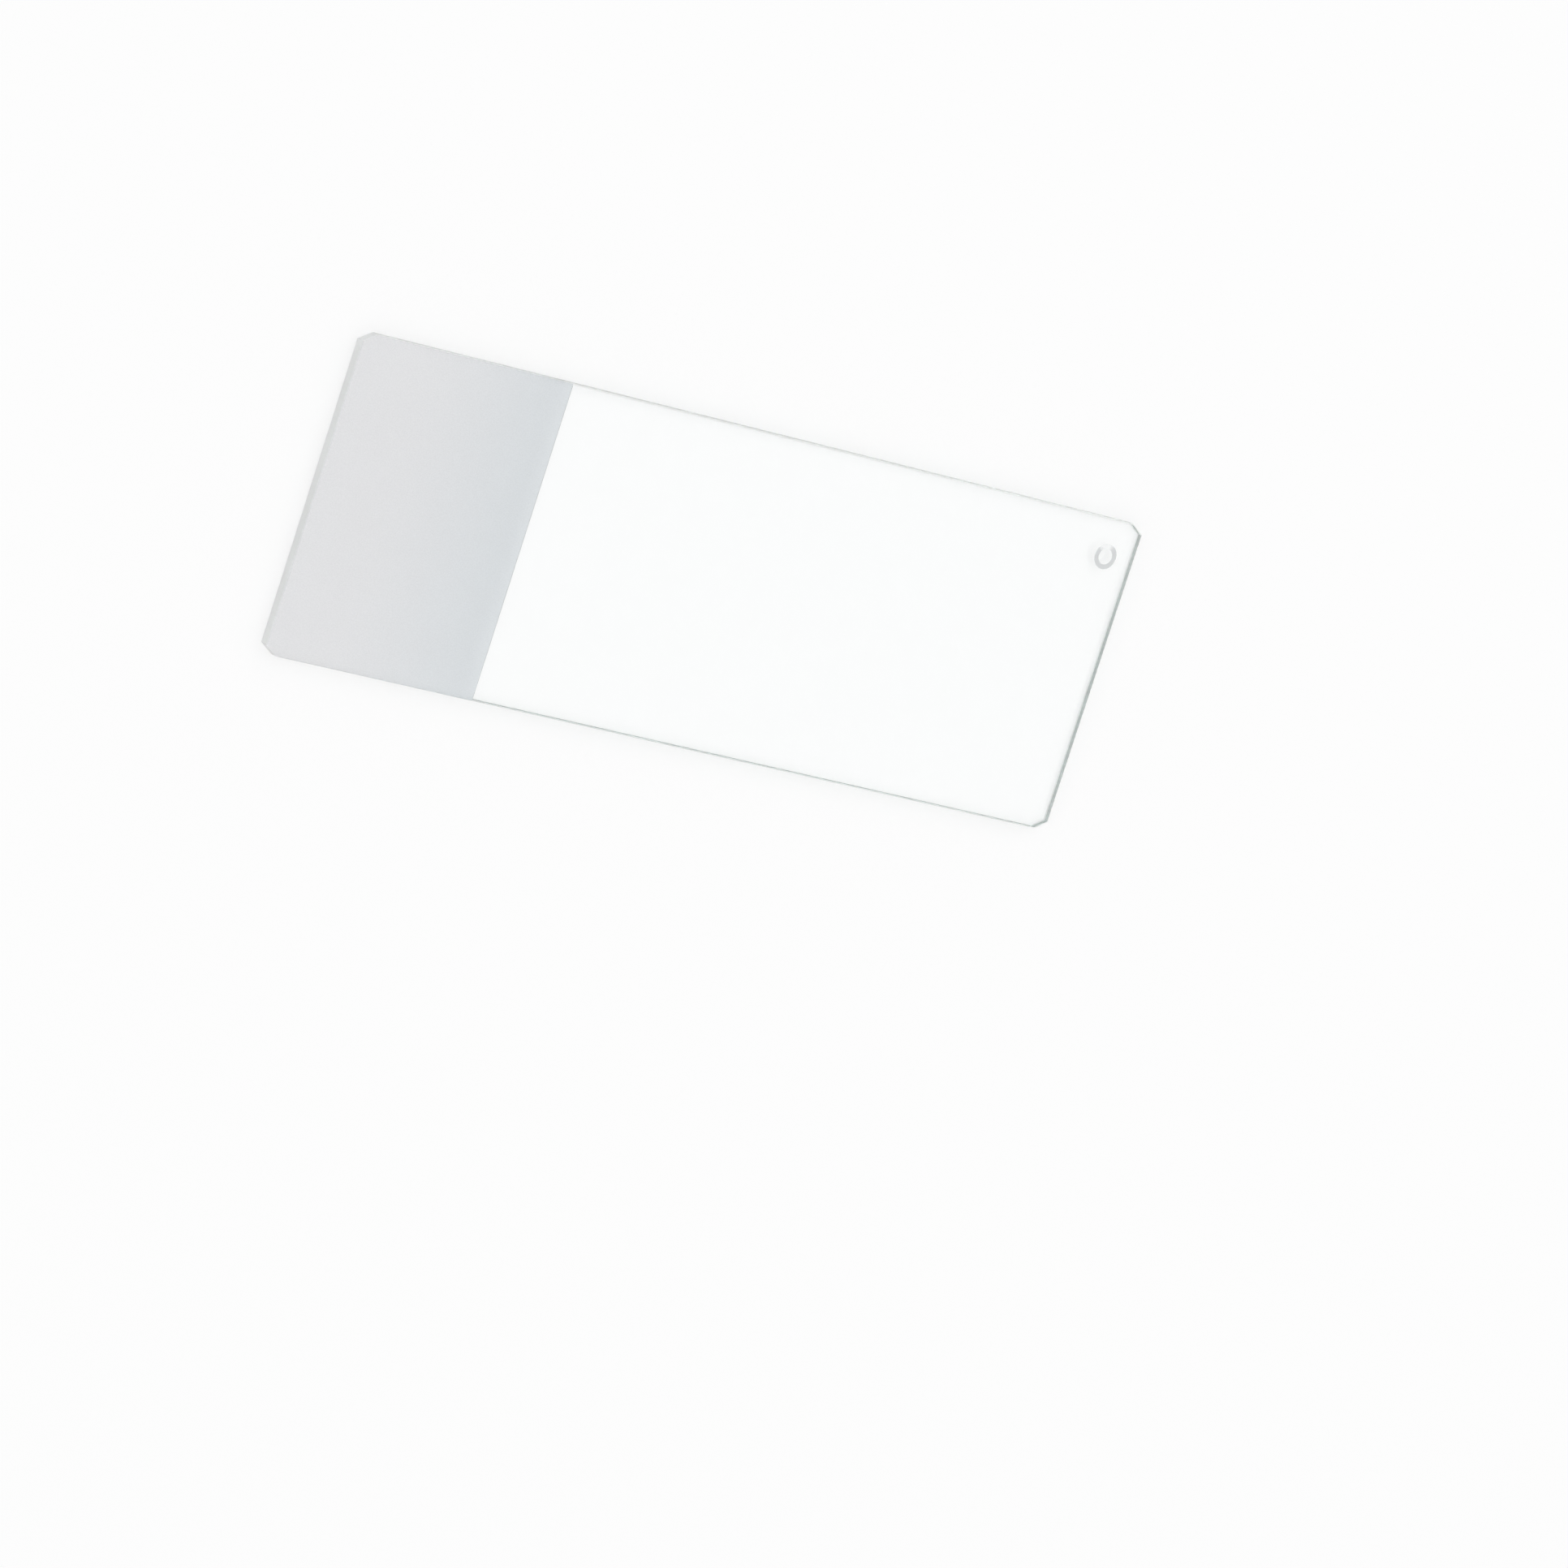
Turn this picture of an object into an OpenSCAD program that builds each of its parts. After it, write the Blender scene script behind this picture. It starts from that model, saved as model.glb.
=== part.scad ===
// Microscope slide: one flat plate of glass with ground edges and clipped
// corners. A frosted writing field covers one end of its upper face, and a
// small etched ring in the far corner shows which way up the plate lies.
//
// X runs along the plate from its frosted end to its clear end, Y across it
// towards the ring, and Z up. The plate lies on its lower face, and the origin
// is the middle of that face.

/* [Plate] */
// Length of the plate, over its ground ends
plate_l = 76; // [50:0.5:100]
// Width of the plate, over its ground sides
plate_w = 26; // [15:0.5:50]
// Thickness of the glass
plate_t = 1; // [0.8:0.1:2]

/* [Ground edges] */
// Leg along the plate of the cut that clips each corner
corner_cut_x = 1.15; // [0.4:0.05:3]
// Leg across the plate of the cut that clips each corner
corner_cut_y = 0.75; // [0.4:0.05:3]
// Leg of the 45 degree bevel along every edge of both faces
edge_bevel = 0.08; // [0.05:0.01:0.3]

/* [Frosted field] */
// Length of the field, from the end of the plate
frost_l = 19.4; // [8:0.1:30]
// Depth of glass that the frosting takes away
frost_depth = 0.02; // [0.01:0.005:0.05]

/* [Ring mark] */
// Outer diameter of the ring
ring_d = 2.1; // [1:0.1:4]
// Width of the ring's etched line
ring_line = 0.4; // [0.1:0.02:0.48]
// Depth of the ring's etched line
ring_depth = 0.03; // [0.01:0.005:0.05]
// Clearance along the plate, from the corner cut to the ring
ring_gap_x = 0.65; // [0.1:0.05:5]
// Clearance across the plate, from the corner cut to the ring
ring_gap_y = 1.3; // [0.1:0.05:5]

/* [Hidden] */

$fn = 96;
// Clear glass with a faint green tint, and the matte grey white of etched glass
glass_colour = [0.75, 0.88, 0.85, 0.5];
etched_colour = [0.87, 0.88, 0.89];

// Direction that a corner's cut faces, and the distance between opposite cuts
clip_angle = atan2(corner_cut_x, corner_cut_y);
across_clips = (plate_l - corner_cut_x) * cos(clip_angle)
    + (plate_w - corner_cut_y) * sin(clip_angle);

// Every pair of opposite sides: [direction that they face, distance between them]
SIDE_PAIRS = [
    [0, plate_l],
    [90, plate_w],
    [clip_angle, across_clips],
    [-clip_angle, across_clips]
];

// How far a cutting tool runs past the surface that it leaves
overrun = 1;
// Longer than the plate in any direction
bar_l = plate_l + plate_w;

// Centre of the ring mark
ring_x = plate_l / 2 - corner_cut_x - ring_gap_x - ring_d / 2;
ring_y = plate_w / 2 - corner_cut_y - ring_gap_y - ring_d / 2;

// Section of the plate across one pair of its sides, with all four edges bevelled
module edge_section(across) {
    side = across / 2;
    flat = side - edge_bevel;
    polygon([
        [-flat, 0], [flat, 0],
        [side, edge_bevel], [side, plate_t - edge_bevel],
        [flat, plate_t], [-flat, plate_t],
        [-side, plate_t - edge_bevel], [-side, edge_bevel]
    ]);
}

// Endless bar of that section, whose two sides face along the given direction
module ground_bar(facing, across) {
    rotate([0, 0, facing])
        rotate([90, 0, 0])
            linear_extrude(height = bar_l, center = true)
                edge_section(across);
}

// Glass blank: what all the bars have in common
module ground_plate() {
    intersection_for(pair = SIDE_PAIRS)
        ground_bar(pair[0], pair[1]);
}

// Layer that frosting takes off the upper face, over the whole width
module frosted_layer() {
    translate([-plate_l / 2 - overrun, -plate_w / 2 - overrun, plate_t - frost_depth])
        cube([frost_l + overrun, plate_w + 2 * overrun, frost_depth + overrun]);
}

// Line of the ring mark, sunk into the upper face
module ring_groove() {
    translate([ring_x, ring_y, plate_t - ring_depth])
        difference() {
            cylinder(d = ring_d, h = ring_depth + overrun);
            translate([0, 0, -overrun])
                cylinder(d = ring_d - 2 * ring_line, h = ring_depth + 3 * overrun);
        }
}

// Whole slide: the etched colour stays on the floors of the two recesses
module slide() {
    difference() {
        color(glass_colour) ground_plate();
        color(etched_colour) frosted_layer();
        color(etched_colour) ring_groove();
    }
}

slide();
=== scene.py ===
"""Looks of the microscope slide: its glass, its etched and ground surfaces, and a small studio.

Lengths are in metres, angles in degrees and powers in watts. X runs along the slide towards its
clear end, Y across it towards the ring mark, and Z up, from the middle of its underside. The
slide lies just above the floor, and its glass is the CAD node as packed.
"""
import math

import bpy
from mathutils import Matrix, Vector


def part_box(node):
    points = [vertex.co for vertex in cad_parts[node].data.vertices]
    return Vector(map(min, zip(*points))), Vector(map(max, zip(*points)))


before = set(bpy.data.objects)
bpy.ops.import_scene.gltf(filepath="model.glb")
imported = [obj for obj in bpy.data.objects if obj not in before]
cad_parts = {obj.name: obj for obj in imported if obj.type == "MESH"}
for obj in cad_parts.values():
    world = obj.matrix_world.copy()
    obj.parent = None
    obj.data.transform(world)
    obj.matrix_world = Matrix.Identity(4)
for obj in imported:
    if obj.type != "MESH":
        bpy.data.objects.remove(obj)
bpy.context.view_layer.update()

MM = 0.001
WHITE = (1.0, 1.0, 1.0, 1.0)

# What the CAD part says about its own surfaces. The cut has a leg along X and one along Y
EDGE_BEVEL = 0.08 * MM
CORNER_CUT = (1.15 * MM, 0.75 * MM)
FROST_DEPTH = 0.02 * MM
RING_DEPTH = 0.03 * MM
RING_LINE = 0.4 * MM

# Glass: soda-lime, with the iron that makes a thick piece green
GLASS_IOR = 1.52
ABSORB_COLOUR = (0.35, 0.83, 0.76, 1.0)
ABSORB_DENSITY = 12.0

# Finishes of its surfaces: roughness, the share of light let through, and colour
POLISHED = (0.012, 1.0, WHITE)
GROUND = (0.8, 0.6, (0.985, 0.985, 0.975, 1.0))
ETCHED_LINE = (0.6, 0.4, (0.62, 0.63, 0.64, 1.0))
FROSTED = (0.8, 0.3)

# The frosted field turns from its own colour to a painted shade, darker and cooler, on its way to
# the clear glass. The turn starts at this share of the field's length, and would be complete this
# far past its border
FROST_OUTER = (0.79, 0.79, 0.803, 1.0)
FROST_PAINTED_SHADE = (0.7, 0.735, 0.76, 1.0)
PAINTED_SHADE_START = 0.2
PAINTED_SHADE_PAST = 4 * MM

# Marks lie no deeper than this below the upper face
MARKED_DEPTH = 2 * RING_DEPTH

# The ring mark is painted faintest towards this angle from X, as painted light that washes it out
# there, and keeps this share of its strength there. It stays so up to the first reach on either
# side, and has its full strength past the second
RING_PAINTED_LIGHT_ANGLE = 102
RING_PAINTED_LIGHT_SHARE = 0.25
RING_PAINTED_LIGHT_REACH = (15, 50)

# Scales of noise, in waves per metre: the field's soft clouds, the grain of matte glass, the
# chips along edges, and the streaks that grinding leaves on them
CLOUD_SCALE = 160.0
GRAIN_SCALE = 9000.0
CHIP_SCALE = 3500.0
STREAK_SCALE = (150.0, 150.0, 22000.0)

# Detail of noise: most of it, and that of clouds and streaks
DETAIL = 2.0
MORE_DETAIL = 3.0

# Clouds and grain multiply the field's colour by this, at the least and at the most
CLOUD_RANGE = (0.985, 1.015)
GRAIN_RANGE = (0.92, 1.08)

# How far chips reach into the glass, how ragged the ring's line is, and how softly both end
CHIP_REACH = 0.04 * MM
RING_RAGGED = 0.06 * MM
BORDER_SOFTNESS = 0.04 * MM

# Relief of matte surfaces
BUMP_STRENGTH = 0.4
BUMP_HEIGHT = 0.005 * MM

# Camera: where it stands as seen from what it aims at, how it is turned about its own axis, its
# lens in millimetres, its aim on the plane of the upper face, and the range that it sees
CAMERA_AZIMUTH = -103.08
CAMERA_ELEVATION = 54.24
CAMERA_DISTANCE = 0.7796
CAMERA_ROLL = 118.69
CAMERA_LENS = 225.2
CAMERA_AIM = (12.0 * MM, -13.96 * MM)
CAMERA_CLIP = (0.01, 20.0)

# Floor: how far it lies below the slide, and how it looks
FLOOR_GAP = 0.02 * MM
FLOOR_SIZE = 6.0
FLOOR_COLOUR = (0.94, 0.94, 0.94, 1.0)
FLOOR_ROUGHNESS = 0.8
FLOOR_SPECULAR = 0.2
# Share of plain white in what the picture shows of the floor. The rest is its lit surface
FLOOR_GLOW = 0.6

# Strength of the sky as light on surfaces
SKY_STRENGTH = 0.95

# Lamps: name, azimuth, elevation, distance, width and power
LAMPS = (
    ("key_lamp", 160, 50, 0.9, 0.7, 0.57),
    ("fill_lamp", -20, 60, 1.0, 0.8, 0.25),
)

# Most bounces of one kind, and of all kinds together. Light bounces many times inside the glass
BOUNCES = 24
BOUNCES_IN_ALL = 32

# Vertices this close in height count as level
SAME_HEIGHT = 0.002 * MM

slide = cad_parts["slide"]
low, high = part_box("slide")
LENGTH, WIDTH, TOP = high.x - low.x, high.y - low.y, high.z


def corners_at(height):
    """Lowest and highest corner of the box round the slide's vertices at one height."""
    found = [v.co for v in slide.data.vertices if abs(v.co.z - height) < SAME_HEIGHT]
    return (
        Vector(min(co[i] for co in found) for i in range(3)),
        Vector(max(co[i] for co in found) for i in range(3)),
    )


FROST_END = corners_at(TOP - FROST_DEPTH)[1].x
ring_low, ring_high = corners_at(TOP - RING_DEPTH)
RING_CENTRE = (ring_low + ring_high) / 2
RING_RADIUS = (ring_high.x - ring_low.x) / 2


class Nodes:
    """Short ways to build a node tree.

    A Mix node has its share in input 0, its numbers in 2 and 3, and its colours in 6 and 7.
    """

    def __init__(self, tree):
        self.tree = tree

    def add(self, kind, inputs=None, **settings):
        node = self.tree.nodes.new("ShaderNode" + kind)
        for name, value in settings.items():
            setattr(node, name, value)
        for name, value in (inputs or {}).items():
            self.feed(node.inputs[name], value)
        return node

    def feed(self, socket, value):
        """Links a socket to another node's output, or sets its plain value."""
        if isinstance(value, bpy.types.NodeSocket):
            self.tree.links.new(value, socket)
        else:
            socket.default_value = value

    def calc(self, operation, *values):
        return self.add("Math", dict(enumerate(values)), operation=operation).outputs[0]

    def step(self, value, start, end):
        """0 at start, 1 at end, smooth between them and level beyond them."""
        inputs = {"Value": value, "From Min": start, "From Max": end}
        return self.add("MapRange", inputs, interpolation_type="SMOOTHSTEP").outputs["Result"]

    def blend(self, share, first, second):
        """The first number at share 0, the second at share 1."""
        return self.add("Mix", {0: share, 2: first, 3: second}, data_type="FLOAT").outputs[0]

    def blend_colour(self, share, first, second):
        return self.add("Mix", {0: share, 6: first, 7: second}, data_type="RGBA").outputs[2]

    def noise(self, place, scale, detail=DETAIL):
        node = self.add("TexNoise", {"Vector": place, "Scale": scale, "Detail": detail})
        return node.outputs["Fac"]

    def stretched(self, place, scale):
        return self.add("VectorMath", {0: place, 1: scale}, operation="MULTIPLY").outputs[0]


def new_material(name):
    material = bpy.data.materials.new(name)
    material.use_nodes = True
    material.node_tree.nodes.clear()
    return material, Nodes(material.node_tree)


def ground_share(n, place, x, y):
    """1 on the ground sides and bevels, whose inner border is slightly chipped."""
    away_x, away_y = n.calc("ABSOLUTE", x), n.calc("ABSOLUTE", y)
    from_end = n.calc("SUBTRACT", LENGTH / 2, away_x)
    from_side = n.calc("SUBTRACT", WIDTH / 2, away_y)

    # A corner's cut, by the way it faces and its distance from the slide's middle
    cut_x, cut_y = CORNER_CUT
    facing = math.atan2(cut_x, cut_y)
    reach = (LENGTH - cut_x) / 2 * math.cos(facing) + (WIDTH - cut_y) / 2 * math.sin(facing)
    towards_cut = n.calc("ADD", n.calc("MULTIPLY", away_x, math.cos(facing)),
                         n.calc("MULTIPLY", away_y, math.sin(facing)))
    from_cut = n.calc("SUBTRACT", reach, towards_cut)

    inset = n.calc("MINIMUM", n.calc("MINIMUM", from_end, from_side), from_cut)
    chips = n.calc("MULTIPLY", n.noise(place, CHIP_SCALE), CHIP_REACH)
    border = n.calc("SUBTRACT", inset, chips)
    half = BORDER_SOFTNESS / 2
    return n.calc("SUBTRACT", 1.0, n.step(border, EDGE_BEVEL - half, EDGE_BEVEL + half))


def ring_share(n, place, x, y):
    """1 on the etched ring, less on the side where painted light washes it out."""
    dx = n.calc("SUBTRACT", x, RING_CENTRE.x)
    dy = n.calc("SUBTRACT", y, RING_CENTRE.y)
    radius = n.calc("SQRT", n.calc("ADD", n.calc("MULTIPLY", dx, dx), n.calc("MULTIPLY", dy, dy)))
    off_line = n.calc("ABSOLUTE", n.calc("SUBTRACT", radius, RING_RADIUS - RING_LINE / 2))
    ragged = n.calc("ADD", off_line, n.calc("MULTIPLY", n.noise(place, GRAIN_SCALE), RING_RAGGED))
    edge = RING_LINE / 2
    line = n.calc("SUBTRACT", 1.0, n.step(ragged, edge, edge + BORDER_SOFTNESS))

    # Painted light: the line fades towards one side, where bright light washes it out
    angle = math.radians(RING_PAINTED_LIGHT_ANGLE)
    along = n.calc("ADD", n.calc("MULTIPLY", dx, math.cos(angle)),
                   n.calc("MULTIPLY", dy, math.sin(angle)))
    inner, outer = (math.cos(math.radians(reach)) for reach in RING_PAINTED_LIGHT_REACH)
    towards = n.step(n.calc("DIVIDE", along, radius), outer, inner)
    return n.calc("MULTIPLY", line, n.blend(towards, 1.0, RING_PAINTED_LIGHT_SHARE))


def frost_colour(n, place, x):
    """Pale grey, with painted shade that makes it darker and cooler towards the clear glass, and
    soft clouds and a fine grain.
    """
    turn_start = low.x + PAINTED_SHADE_START * (FROST_END - low.x)
    # Painted shade: the colour grows darker and cooler towards the clear glass
    painted_shade_share = n.step(x, turn_start, FROST_END + PAINTED_SHADE_PAST)
    plain = n.blend_colour(painted_shade_share, FROST_OUTER, FROST_PAINTED_SHADE)
    cloud = n.blend(n.noise(place, CLOUD_SCALE, MORE_DETAIL), *CLOUD_RANGE)
    grain = n.blend(n.noise(place, GRAIN_SCALE), *GRAIN_RANGE)
    shade = n.calc("MULTIPLY", cloud, grain)
    return n.add("VectorMath", {0: plain, "Scale": shade}, operation="SCALE").outputs[0]


def glass_material():
    """Clear glass whose frosted field, ring mark and ground edges are told by where they lie."""
    material, n = new_material("slide_glass")
    place = n.add("TexCoord").outputs["Object"]
    x, y, z = n.add("SeparateXYZ", {"Vector": place}).outputs
    on_top = n.calc("GREATER_THAN", z, TOP - MARKED_DEPTH)

    ground = ground_share(n, place, x, y)
    ring = n.calc("MULTIPLY", ring_share(n, place, x, y), on_top)
    field = n.calc("MULTIPLY", n.calc("LESS_THAN", x, FROST_END), on_top)

    rough, clear, colour = POLISHED
    layers = ((ground, *GROUND), (ring, *ETCHED_LINE), (field, *FROSTED, frost_colour(n, place, x)))
    for share, layer_rough, layer_clear, layer_colour in layers:
        rough = n.blend(share, rough, layer_rough)
        clear = n.blend(share, clear, layer_clear)
        colour = n.blend_colour(share, colour, layer_colour)

    grain = n.noise(place, GRAIN_SCALE)
    streaks = n.noise(n.stretched(place, STREAK_SCALE), 1.0, MORE_DETAIL)
    matte = n.calc("MAXIMUM", field, ring)
    height = n.calc("ADD", n.calc("MULTIPLY", grain, matte), n.calc("MULTIPLY", streaks, ground))
    bump = n.add("Bump", {"Height": height, "Strength": BUMP_STRENGTH, "Distance": BUMP_HEIGHT})

    shader = n.add("BsdfPrincipled", {
        "Base Color": colour,
        "Roughness": rough,
        "Transmission Weight": clear,
        "Normal": bump.outputs["Normal"],
        "IOR": GLASS_IOR,
    })
    volume = n.add("VolumeAbsorption", {"Color": ABSORB_COLOUR, "Density": ABSORB_DENSITY})
    n.add("OutputMaterial", {"Surface": shader.outputs[0], "Volume": volume.outputs[0]})
    return material


def seen_share(n):
    """1 for rays that carry the picture, straight or by way of the glass.

    It is 0 for light that a matte surface gathers.
    """
    rays = n.add("LightPath").outputs
    by_glass = n.calc("MAXIMUM", rays["Is Glossy Ray"], rays["Is Transmission Ray"])
    carried = n.calc("MAXIMUM", rays["Is Camera Ray"], by_glass)
    unscattered = n.calc("LESS_THAN", rays["Diffuse Depth"], 0.5)
    return n.calc("MULTIPLY", carried, unscattered)


def floor_material():
    material, n = new_material("studio_floor")
    matte = n.add("BsdfPrincipled", {
        "Base Color": FLOOR_COLOUR,
        "Roughness": FLOOR_ROUGHNESS,
        "Specular IOR Level": FLOOR_SPECULAR,
    })
    white = n.add("Emission", {"Color": WHITE, "Strength": 1.0})
    glow = n.calc("MULTIPLY", seen_share(n), FLOOR_GLOW)
    surface = n.add("MixShader", {0: glow, 1: matte.outputs[0], 2: white.outputs[0]})
    n.add("OutputMaterial", {"Surface": surface.outputs[0]})
    return material


def add_floor():
    half = FLOOR_SIZE / 2
    mesh = bpy.data.meshes.new("floor")
    corners = [(-half, -half, 0), (half, -half, 0), (half, half, 0), (-half, half, 0)]
    mesh.from_pydata(corners, [], [(0, 1, 2, 3)])
    floor = bpy.data.objects.new("floor", mesh)
    floor.location.z = low.z - FLOOR_GAP
    bpy.context.scene.collection.objects.link(floor)
    mesh.materials.append(floor_material())


def direction(azimuth, elevation):
    """Unit vector from the slide. Azimuth 0 is towards -Y, and azimuth 90 towards +X."""
    a, e = math.radians(azimuth), math.radians(elevation)
    return Vector((math.sin(a) * math.cos(e), -math.cos(a) * math.cos(e), math.sin(e)))


def add_lamp(name, azimuth, elevation, distance, width, power):
    """Square soft lamp that looks at the slide."""
    data = bpy.data.lights.new(name, "AREA")
    data.shape = "SQUARE"
    data.size = width
    data.energy = power
    lamp = bpy.data.objects.new(name, data)
    back = direction(azimuth, elevation)
    lamp.location = back * distance
    lamp.rotation_euler = back.to_track_quat("Z", "Y").to_euler()
    bpy.context.scene.collection.objects.link(lamp)


def add_sky():
    """Even sky, which is plain white to the camera and the glass."""
    world = bpy.data.worlds.new("studio_sky")
    bpy.context.scene.world = world
    world.use_nodes = True
    world.node_tree.nodes.clear()
    n = Nodes(world.node_tree)
    strength = n.blend(seen_share(n), SKY_STRENGTH, 1.0)
    sky = n.add("Background", {"Color": WHITE, "Strength": strength})
    n.add("OutputWorld", {"Surface": sky.outputs[0]})


def add_camera():
    data = bpy.data.cameras.new("camera")
    data.lens = CAMERA_LENS
    data.clip_start, data.clip_end = CAMERA_CLIP
    camera = bpy.data.objects.new("camera", data)
    back = direction(CAMERA_AZIMUTH, CAMERA_ELEVATION)
    roll = Matrix.Rotation(math.radians(CAMERA_ROLL), 3, "Z")
    turn = back.to_track_quat("Z", "Y").to_matrix() @ roll
    place = Vector((*CAMERA_AIM, TOP)) + back * CAMERA_DISTANCE
    camera.matrix_world = Matrix.LocRotScale(place, turn.to_quaternion(), None)
    bpy.context.scene.collection.objects.link(camera)
    bpy.context.scene.camera = camera


def set_light_paths():
    """Lets light bounce for longer than usual inside the glass, with no blur of its reflections."""
    cycles = bpy.context.scene.cycles
    cycles.max_bounces = BOUNCES_IN_ALL
    cycles.diffuse_bounces = BOUNCES
    cycles.glossy_bounces = BOUNCES
    cycles.transmission_bounces = BOUNCES
    cycles.blur_glossy = 0.0


add_camera()
slide.material_slots[0].material = glass_material()
add_floor()
for lamp in LAMPS:
    add_lamp(*lamp)
add_sky()
bpy.context.scene.view_settings.view_transform = "Standard"
set_light_paths()
